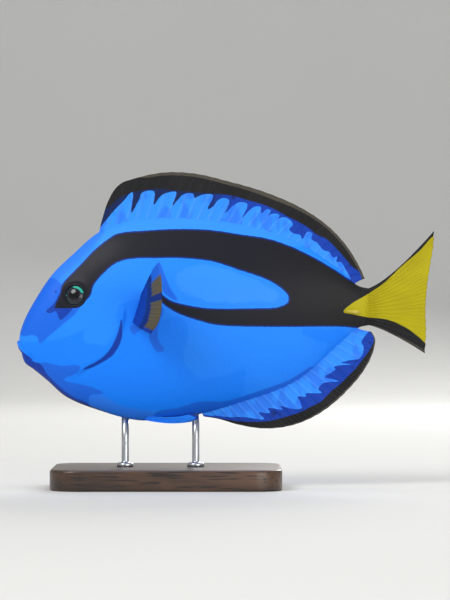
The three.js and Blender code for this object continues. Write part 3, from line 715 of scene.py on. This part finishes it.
anal = {
    "rays": 21, "spines": 3, "perRay": 16, "rows": 40, "side": "belly", "wave": 1.1, "waves": 3.5,
    "root": 1.9, "rootFade": 5,
    "pairs": [
        (105.5, (107.5, -61.4)), (109.5, (116, -62.8)), (116, (127, -66)), (126, (141, -68.2)),
        (138, (156, -67)), (150, (169, -62.3)), (161, (181, -54.6)), (171, (191.5, -44.7)),
        (179.5, (199.5, -34.8)), (186, (204.6, -24.8)), (190.5, (206, -16.8)), (194, (203.8, -12.4)),
    ],
    "light": [
        (203, -11), (199.9, -15.1), (198, -18.5), (199.1, -20.6), (199, -24.3), (196.7, -28), (191.2, -28.9),
        (186.6, -30.4), (192.5, -31.3), (182.4, -32.6), (183.1, -34.2), (181.5, -35.5), (176.9, -38.6),
        (182, -39.9), (185.2, -41.1), (176.3, -42), (173.2, -45.6), (175.3, -47.7), (165.6, -48.2),
        (166.2, -49.8), (161.3, -50), (162.7, -52.8), (163.6, -56.6), (158.1, -56.9), (151.2, -55.3),
        (152.7, -57.4), (144.3, -56.5), (145.2, -59.2), (138.8, -59.2), (142.1, -62.9), (130.5, -61.6),
        (124.1, -61.7), (116.7, -61.2), (104.8, -59.2), (100, -50), (150, -30), (190, -3), (202, -4),
    ],
    "royal": [
        (204.9, -10), (205.7, -16), (204, -20.6), (201.3, -25.2), (197.6, -29.8), (194.8, -33.5),
        (191.2, -37.2), (185.6, -42.7), (180.1, -47.3), (174.6, -52.8), (168.2, -56), (162.7, -58.8),
        (154.4, -61.5), (145.2, -63.8), (136, -64.4), (126.8, -64), (120.4, -63.1), (113.1, -61.8),
        (104, -60.5), (98, -52), (150, -30), (190, -3), (204, -3),
    ],
    # the margin's painted edge highlight, by x
    "brown": [(116, 0), (122, 0.7), (150, 0.6), (166, 0.9), (190, 1.1), (203, 0.8)],
}
sink = 2.2    # how deep a median fin's root starts inside the body


def makeMedianFin(name, fin, finish):
    u, v, out = finGrid(fin)
    rootPoints = onOutline(fin["side"], [x for x, _ in fin["pairs"]])
    tipPoints = [(tip[0], 0, tip[1]) for _, tip in fin["pairs"]]
    t = byLength(rootPoints, u[0])
    roots, tips = curveAt(rootPoints, t), curveAt(tipPoints, t)
    inward = -sink if fin["side"] == "back" else sink
    start = roots[None] + np.array([0, 0, 1]) * (inward * (1 - v))[:, :, None]
    spots = start + (tips[None] - start) * out
    spots[:, :, 1] = fin["wave"] * v * v * np.sin(2 * math.pi * fin["waves"] * u) * np.sin(math.pi * u)
    length = np.linalg.norm(tips - roots, axis=1)
    # the width of the margin's painted edge highlight at each ray
    brown = np.interp(tips[:, 0], [x for x, _ in fin["brown"]], [wide for _, wide in fin["brown"]])
    x, z = spots[:, :, 0], spots[:, :, 2]
    addFin(name, fin, finish, name, u, v, spots, {
        "light": insideBy(x, z, closedLoop(fin["light"], 4)),
        "royal": insideBy(x, z, closedLoop(fin["royal"], 4)),
        "inky": 1 - ease(*fin["inkyTo"], x) if "inkyTo" in fin else 0 * x,
        "brown": brown[None] - (1 - v) * length[None],
    })


tail = {
    "rays": 16, "spines": 0, "perRay": 18, "rows": 60, "root": 0, "rootFade": 1,
    "rootX": 200, "top": 12, "bottom": -8.4, "halfWidth": 3.2, "fade": 0.36,
    "tips": [
        (239.9, 45.5), (239.6, 37), (237.8, 26), (236.2, 15.5), (235.2, 4), (235.1, -3), (235.4, -12),
        (234.6, -25),
    ],
    "leadX": 0.3, "leadZ": 0.06, "wave": 0.8, "waves": 1.8,
    "brownGap": (0.48, 0.52, 0.62, 0.66),    # where the lower edge's painted brown highlight thins out, as shares of the ray
}


def makeTail(finish):
    u, v, out = finGrid(tail)
    tipPoints = [(x, 0, z) for x, z in tail["tips"]]
    tips = curveAt(tipPoints, byLength(tipPoints, u[0]))[None]
    rootZ = tail["top"] + (tail["bottom"] - tail["top"]) * u[0]
    start = np.stack([np.full_like(rootZ, tail["rootX"]), 0 * rootZ, rootZ], 1)[None]
    lead = start + (tips - start) * np.array([tail["leadX"], 0, tail["leadZ"]])
    spots = (1 - out) ** 2 * start + 2 * out * (1 - out) * lead + out**2 * tips
    spots[:, :, 1] += (tail["wave"] * out[:, :, 0] ** 2) * np.sin(2 * math.pi * tail["waves"] * u)
    bulge = 2 * tail["halfWidth"] * np.sqrt(np.maximum(0, 1 - (2 * u - 1) ** 2))
    bulge *= 1 - ease(0.04, tail["fade"], v)
    thinFrom, thinFull, backFrom, backFull = tail["brownGap"]
    gap = ease(thinFrom, thinFull, v) * (1 - ease(backFrom, backFull, v))
    addFin("tail_membrane", tail, finish, "tail_fin", u, v, spots, {
        "yellow": insideBy(spots[:, :, 0], spots[:, :, 2], yellowLoop),
        "brown": ease(0.965, 0.985, u) * ease(0.1, 0.2, v) * (1 - 0.8 * gap),
    }, bulge)


pectoral = {
    "rays": 16, "spines": 1, "perRay": 14, "rows": 48,
    "roots": [(74, 8.4), (71.4, 0.8), (68.6, -7)],
    "tips": [(82.5, 53, 27), (84, 57.5, 15), (84, 55, 3.5), (82.2, 47, -6.5), (77.6, 35, -13.4)],
    "bow": (-1.6, 2.6, 0), "root": 3.2, "rootFade": 5, "inward": (-0.8, -2.2, 0),
}
pelvic = {
    "rays": 6, "spines": 1, "perRay": 12, "rows": 40,
    "roots": [(75, 2.9, -64.6), (76.4, 3.9, -62.4)],
    "tips": [(100, 3.3, -64), (104.2, 4.3, -61.8), (100.5, 5.2, -59.6)],
    "bow": (0, 0.5, -1.1), "root": 1.7, "rootFade": 4, "inward": (-1.2, -1.2, 1.6),
}


def makePairedFin(name, fin, side, rootPoints, finish):
    u, v, out = finGrid(fin)
    roots = curveAt(rootPoints, u[0])[None]
    tips = curveAt(fin["tips"], u[0])[None]
    start = roots + np.array(fin["inward"]) * (1 - v)[:, :, None]
    spots = start + (tips - start) * out + 4 * out * (1 - out) * np.array(fin["bow"])
    edge = (1 - v) * np.linalg.norm(tips - roots, axis=2)
    node = name.replace("_", "_fin_")
    addFin(name, fin, finish, node, u, v, spots * [1, side, 1], {"edge": edge})


def membrane(finish, tree, shader, colour):
    # Cross joints of the rays, about 1 mm apart, and the fine creases of the membrane between them.
    place = addNode(tree, "ShaderNodeUVMap", uv_map="finMap").outputs[0]
    joints = addNode(tree, "ShaderNodeTexWave", [
        ("Vector", place), ("Scale", 14), ("Distortion", 0.6), ("Detail", 1),
    ], bands_direction="Y").outputs["Fac"]
    ridges = maths(tree, "MULTIPLY", joints, measure(tree, "ray"))
    bump(tree, shader, maths(tree, "ADD", ridges, noise(tree, 0.9)), 0.07)
    setColour(tree, shader, colour)
    return finish


def medianFinish():
    # Painted fin membrane under lacquer: light blue at the foot, ink black out to a thin brown margin that is
    # a painted edge highlight.
    finish, tree, shader = newFinish("lacqueredFinMembrane", **thinLacquer)
    wobble = swing(tree, 2.5, 0.5)
    pale = mottled(tree, 9, 0.5, 0.6, paint["pale"], paint["dull"], stretch=(1, 1, 0.5))
    pale = blend(tree, maths(tree, "MULTIPLY", measure(tree, "ray"), 0.22), pale, linear("#5AA6FF"))
    light = maths(tree, "ADD", measure(tree, "light"), wobble)
    outer = maths(tree, "ADD", measure(tree, "royal"), wobble)
    royal = mottled(tree, 5, 0.58, 0.68, paint["royal"], paint["navy"])
    royal = blend(tree, measure(tree, "inky"), royal, linear("#0B2052"))
    colour = blend(tree, step(tree, outer, -0.3, 0.3), paint["soot"], royal)
    colour = blend(tree, step(tree, light, -0.15, 0.15), colour, pale)
    colour = blend(tree, step(tree, measure(tree, "brown"), -0.15, 0.25), colour, paint["brown"])
    return membrane(finish, tree, shader, colour)


def tailFinish():
    # Painted tail membrane: strong yellow with black upper and lower edges, and a painted brown edge
    # highlight along the lower edge.
    finish, tree, shader = newFinish("lacqueredTailMembrane", **thinLacquer)
    yellow = mottled(tree, 9, 0.35, 0.65, linear("#B6AA04"), linear("#B0A304"), stretch=(0.5, 1, 1))
    between = maths(tree, "MULTIPLY", maths(tree, "SUBTRACT", 1, measure(tree, "ray")), 0.22)
    yellow = blend(tree, between, yellow, linear("#8F8200"))
    edge = maths(tree, "ADD", measure(tree, "yellow"), maths(tree, "MULTIPLY", noise(tree, 3), 0.3))
    colour = blend(tree, step(tree, edge, -0.15, 0.35), paint["soot"], yellow)
    colour = blend(tree, maths(tree, "MULTIPLY", measure(tree, "brown"), 0.8), colour, paint["brown"])
    return membrane(finish, tree, shader, colour)


def pectoralFinish():
    # Painted pectoral membrane: grey-brown outer rays, a navy streak, and navy and royal blue at the foot,
    # the blue foot darkened as painted shade.
    finish, tree, shader = newFinish("lacqueredPectoralMembrane", **thinLacquer)
    place = addNode(tree, "ShaderNodeUVMap", uv_map="finMap").outputs[0]
    split = addNode(tree, "ShaderNodeSeparateXYZ", [(0, place)])
    u, v = split.outputs[0], split.outputs[1]
    greyBrown = blend(tree, measure(tree, "ray"), linear("#57503F"), linear("#6C623A"))
    streak = maths(tree, "ABSOLUTE", maths(tree, "SUBTRACT", u, 0.4))
    colour = blend(tree, step(tree, streak, 0.06, 0.035), greyBrown, paint["navy"])
    colour = blend(tree, step(tree, u, 0.17, 0.12), colour, paint["shade"])
    colour = blend(tree, step(tree, u, 0.9, 0.94), colour, paint["royal"])
    # Toward the foot the fin turns navy and then royal: painted shade over the fin's blue root.
    foot = maths(tree, "ADD", v, maths(tree, "MULTIPLY", noise(tree, 5), 0.1))
    colour = blend(tree, step(tree, foot, 0.72, 0.66), colour, paint["navy"])
    colour = blend(tree, step(tree, foot, 0.52, 0.46), colour, paint["royal"])
    return membrane(finish, tree, shader, colour)


def pelvicFinish():
    # Painted pelvic membrane: light blue with a darker tip.
    finish, tree, shader = newFinish("lacqueredPelvicMembrane", **thinLacquer)
    colour = blend(tree, measure(tree, "ray"), paint["bright"], paint["pale"])
    colour = blend(tree, step(tree, measure(tree, "edge"), 2.5, 0.8), colour, paint["royal"])
    return membrane(finish, tree, shader, colour)


def eyeFinish():
    # Cast glass eye: black pupil and dark iris under clear glass, with a bright blue-green crescent above
    # that is partly the iris's own ring and partly a painted glint.
    finish, tree, shader = newFinish("castGlassEye", 0.15, coat=0.45, coatRoughness=0.03)
    radius, turn = measure(tree, "fromMiddle"), measure(tree, "turnRound")
    iris = mottled(tree, 0.8, 0.4, 0.65, linear("#1A1A24"), linear("#262A38"), detail=3)
    pupil = step(tree, radius, eyes["pupil"] + 0.15, eyes["pupil"] - 0.15)
    colour = blend(tree, pupil, iris, linear("#050507"))
    # The crescent is partly the iris's ring and partly a painted highlight on the eye.
    crescent = maths(tree, "MULTIPLY", step(tree, turn, 10, 28), step(tree, turn, 108, 88))
    middleLine = maths(tree, "ABSOLUTE", maths(tree, "SUBTRACT", radius, eyes["arc"]))
    wide = maths(tree, "MULTIPLY", crescent, 0.95)
    crescent = step(tree, maths(tree, "SUBTRACT", wide, middleLine), -0.1, 0.15)
    colour = blend(tree, crescent, colour, linear("#2BAF9A"))
    setColour(tree, shader, colour)
    return finish


def darkFinish():
    # Unlit hollow of the mouth and nostrils: near-black, matt.
    finish, tree, shader = newFinish("mattHollow", 0.8)
    setColour(tree, shader, blend(tree, noise(tree, 2), linear("#05070F"), linear("#0B1020")))
    return finish


# The folded spine on each side of the tail stalk, its point forward
spine = {
    "tip": (188.2, -0.6), "root": (197.6, -1.4), "radius": 1.25, "tipRadius": 0.12, "stand": 0.9,
    "flat": 0.62, "bow": 0.5, "widest": 0.75,
}


def makeSpine(side, name, finish):
    tip = np.array([spine["tip"][0], side * (flank(*spine["tip"])[0] + spine["stand"]), spine["tip"][1]])
    root = np.array([spine["root"][0], side * (flank(*spine["root"])[0] - 0.2), spine["root"][1]])

    def path(u):
        u = np.asarray(u)[:, None]
        return tip + (root - tip) * u + np.array([0, side * spine["bow"], 0]) * 4 * u * (1 - u)

    def spineRadius(u):    # widest three quarters back, then closing into the skin
        grown = np.minimum(u / spine["widest"], 1) ** 0.8
        thick = spine["tipRadius"] + (spine["radius"] - spine["tipRadius"]) * grown
        return thick * (1 - 0.75 * ease(spine["widest"], 1, u))

    bm, spots = ropeForm(path, spineRadius, 40, 20)
    middle = path(np.clip((spots[:, 0] - tip[0]) / (root[0] - tip[0]), 0, 1))
    spots[:, 1] = middle[:, 1] + (spots[:, 1] - middle[:, 1]) * spine["flat"]
    addPiece(bm, f"spine_{name}", finish, [f"tail_spine_{name}"], spots)


def spineFinish():
    # Bone-like cast resin: dull yellow ivory with fine lengthwise grain.
    finish, tree, shader = newFinish("castBoneResin", 0.36, coat=0.1)
    grain = noise(tree, 0.8, detail=3, stretch=(0.2, 1, 1))
    setColour(tree, shader, blend(tree, step(tree, grain, 0.35, 0.7), linear("#CDBF4E"), linear("#A8962A")))
    bump(tree, shader, grain, 0.04)
    return finish


# The stand
base = {"length": 132, "width": 92, "corner": 16, "bevel": 1.5}
rods = {"stand_rod_front": 62, "stand_rod_rear": 102.6}
rod = {"radius": 2.1, "footRadius": 5, "footHeight": 2.4, "intoBelly": 1.2}


def roundOff(bm, edges, offset, segments):
    bmesh.ops.bevel(
        bm, geom=edges, offset=offset, offset_type="OFFSET", affect="EDGES", segments=segments, profile=0.5,
        material=-1,
    )


def makeBase(finish):
    bm = bmesh.new()
    for vert in bmesh.ops.create_cube(bm, size=1)["verts"]:
        vert.co *= Vector((base["length"], base["width"], stand["baseHeight"]))
    upright = [e for e in bm.edges if abs(e.verts[0].co.z - e.verts[1].co.z) > 1]
    roundOff(bm, upright, base["corner"], 14)
    roundOff(bm, [e for e in bm.edges if e.calc_face_angle() > 1], base["bevel"], 5)
    middle = [stand["baseMiddle"], 0, stand["baseHeight"] / 2 - origin[2]]
    addPiece(bm, "base_plate", finish, ["stand_base"], spotsOf(bm) + middle)


def makeRod(name, x, finish):
    foot = stand["baseHeight"] - origin[2]
    top = onOutline("belly", x)[0][2] + rod["intoBelly"]
    r, wide, lip = rod["radius"], rod["footRadius"], foot + rod["footHeight"]
    profile = [
        (0, foot), (wide - 0.2, foot), (wide, foot + 0.2), (wide, lip - 0.9), (wide - 0.25, lip - 0.35),
        (wide - 0.8, lip), (r + 0.7, lip), (r + 0.2, lip + 0.25), (r, lip + 0.8), (r, (foot + top) / 2),
        (r, top), (0, top),
    ]
    bm = bmesh.new()
    verts = [bm.verts.new((d, 0, z)) for d, z in profile]
    edges = [bm.edges.new(pair) for pair in zip(verts[:-1], verts[1:])]
    spinRound(bm, verts + edges, 48)
    bmesh.ops.remove_doubles(bm, verts=bm.verts, dist=1e-4)
    addPiece(bm, name.replace("stand_rod", "rod"), finish, [name], spotsOf(bm) + [x, 0, 0])


def woodFinish():
    # Dark stained hardwood under satin lacquer: long brown-black grain with fine open pores.
    finish, tree, shader = newFinish("stainedHardwood", 0.36, coat=0.25, coatRoughness=0.25, specular=0.5)
    figure = {"detail": 4, "stretch": (0.16, 1, 1.2), "roughness": 0.6}
    pores = noise(tree, 1.3, stretch=(0.06, 1, 1))
    colour = mottled(tree, 16, 0.34, 0.66, linear("#2A1D15"), linear("#5A3D28"), **figure)
    colour = blend(tree, step(tree, pores, 0.56, 0.66), colour, linear("#1B120D"))
    setColour(tree, shader, colour)
    bump(tree, shader, pores, -0.05)
    return finish


def steelFinish():
    # Fine brushed stainless steel: soft streaks along the rod.
    finish, tree, shader = newFinish("brushedStainless", 0.3, metallic=1)
    streaks = noise(tree, 0.5, detail=3, stretch=(1, 1, 0.03))
    setColour(tree, shader, blend(tree, streaks, linear("#A9ACB0"), linear("#CDD0D3")))
    bump(tree, shader, streaks, 0.015)
    return finish


# Studio

sweep = {"front": -3.4, "length": 10, "bendFrom": 1.6, "radius": 0.9, "halfWidth": 5}    # metres
lamps = {    # place in metres, size across in metres, watts; all aim at the model's middle
    "keyLamp": ((-1.0, -1.2, 1.4), 1.0, 22),
    "fillLamp": ((1.0, -1.7, 0.15), 1.5, 19),
    "topLamp": ((0.1, 0.1, 1.5), 1.2, 6),
    "backLamp": ((0.5, 1.5, 0.9), 1.0, 16),
}
air = {"colour": (0.95, 0.97, 1, 1), "strength": 0.45}
view = {"lens": 200, "frameHeight": 345.7, "aim": (119.45, 0, 5.76), "sensor": 36}    # millimetres


def paperFinish():
    # Matt background paper: an even warm white.
    finish, tree, shader = newFinish("paperSweep", 0.85)
    setColour(tree, shader, blend(tree, noise(tree, 400), linear("#D2D1CD"), linear("#D8D7D4")))
    return finish


def makeSweep():    # a flat sheet that curves up behind the model
    bm = bmesh.new()
    bmesh.ops.create_grid(bm, x_segments=2, y_segments=90, size=1)
    radius = sweep["radius"]
    for vert in bm.verts:
        run = sweep["front"] + (vert.co.y + 1) / 2 * sweep["length"]
        bend = max(0.0, run - sweep["bendFrom"])
        angle = min(bend / radius, math.pi / 2)
        y = min(run, sweep["bendFrom"]) + radius * math.sin(angle)
        rise = max(0.0, bend - radius * math.pi / 2)
        vert.co = Vector((vert.co.x * sweep["halfWidth"], y, radius * (1 - math.cos(angle)) + rise))
    meshObject(bm, "paperSweep", paperFinish())


def makeStudio():
    scene = bpy.context.scene
    makeSweep()
    middle = Vector((0, 0, 0.1))
    for name, (spot, size, watts) in lamps.items():
        data = bpy.data.lights.new(name, "AREA")
        data.shape = "DISK"
        data.size = size
        data.energy = watts
        light = bpy.data.objects.new(name, data)
        scene.collection.objects.link(light)
        light.location = spot
        light.rotation_euler = (middle - Vector(spot)).to_track_quat("-Z", "Y").to_euler()

    world = bpy.data.worlds.new("studioAir")
    world.use_nodes = True
    background = world.node_tree.nodes["Background"]
    background.inputs[0].default_value = air["colour"]
    background.inputs[1].default_value = air["strength"]
    scene.world = world
    scene.view_settings.view_transform = "Standard"

    data = bpy.data.cameras.new("camera")
    data.lens = view["lens"]
    data.sensor_width = view["sensor"]
    camera = bpy.data.objects.new("camera", data)
    scene.collection.objects.link(camera)
    aim = inRow(view["aim"])
    distance = view["frameHeight"] / 1000 * view["lens"] / view["sensor"]
    camera.location = (aim[0], -distance, aim[2])
    camera.rotation_euler = (math.pi / 2, 0, 0)
    scene.camera = camera


def main():
    makeStudio()
    print("studio ready")
    skin, dark = skinFinish(), darkFinish()
    makeSkin(skin)
    makeMouth(skin, dark)
    print("skin and mouth ready")
    finPaint = medianFinish()
    makeMedianFin("dorsal_fin", dorsal, finPaint)
    makeMedianFin("anal_fin", anal, finPaint)
    makeTail(tailFinish())
    print("median fins ready")
    glass, bone, pectoralSkin, pelvicSkin = eyeFinish(), spineFinish(), pectoralFinish(), pelvicFinish()
    for name, side in (("left", -1), ("right", 1)):
        makeEye(side, name, glass, skin)
        makeNostrils(side, name, skin, dark)
        makeSpine(side, name, bone)
        roots = [(x, flank(x, z)[0], z) for x, z in pectoral["roots"]]
        makePairedFin(f"pectoral_{name}", pectoral, side, roots, pectoralSkin)
        makePairedFin(f"pelvic_{name}", pelvic, side, pelvic["roots"], pelvicSkin)
    print("eyes and paired fins ready")
    makeBase(woodFinish())
    steel = steelFinish()
    for name, x in rods.items():
        makeRod(name, x, steel)
    print("stand ready")


main()
